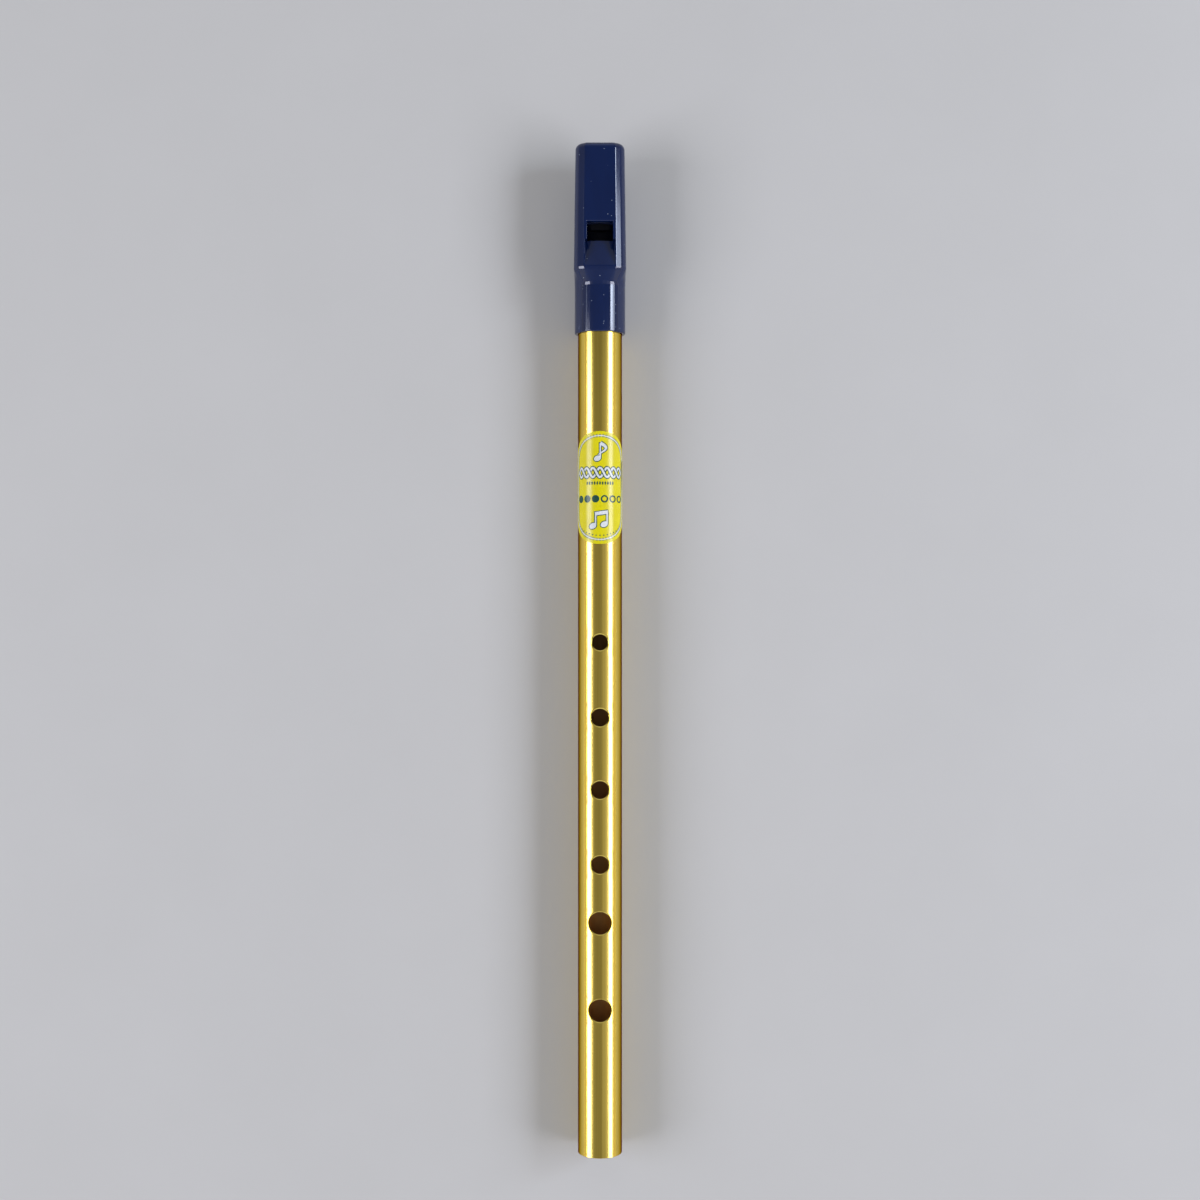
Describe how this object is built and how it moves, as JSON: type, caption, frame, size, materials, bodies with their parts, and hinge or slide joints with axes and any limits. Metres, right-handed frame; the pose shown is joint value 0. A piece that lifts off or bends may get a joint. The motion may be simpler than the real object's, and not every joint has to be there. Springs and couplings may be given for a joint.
{
  "type": "tin whistle",
  "caption": "High D whistle: a brass tube with finger holes and a moulded fipple mouthpiece that slides on the tube to tune it.",
  "frame": {"origin": "midway along the whistle, on the surface that the back of the mouthpiece lies on", "axes": "+Y along the bore from the foot to the beak, +Z out of the front, where the finger holes and the window are, +X to the right seen from the front with the beak up"},
  "size_m": [0.0154, 0.297, 0.0167],
  "materials": {
    "brass": "bright drawn tube under clear lacquer",
    "navy_plastic": "glossy injection moulding",
    "yellow_paper": "satin printed sticker"
  },
  "bodies": {
    "body_tube": {"tube": "brass", "label": "yellow_paper"},
    "head": {"mouthpiece": "navy_plastic"}
  },
  "joints": [
    {"name": "head_tuning_slide", "type": "slide", "parent": "body_tube", "child": "head", "axis": [0, 1, 0], "range_m": [0, 0.006]}
  ]
}
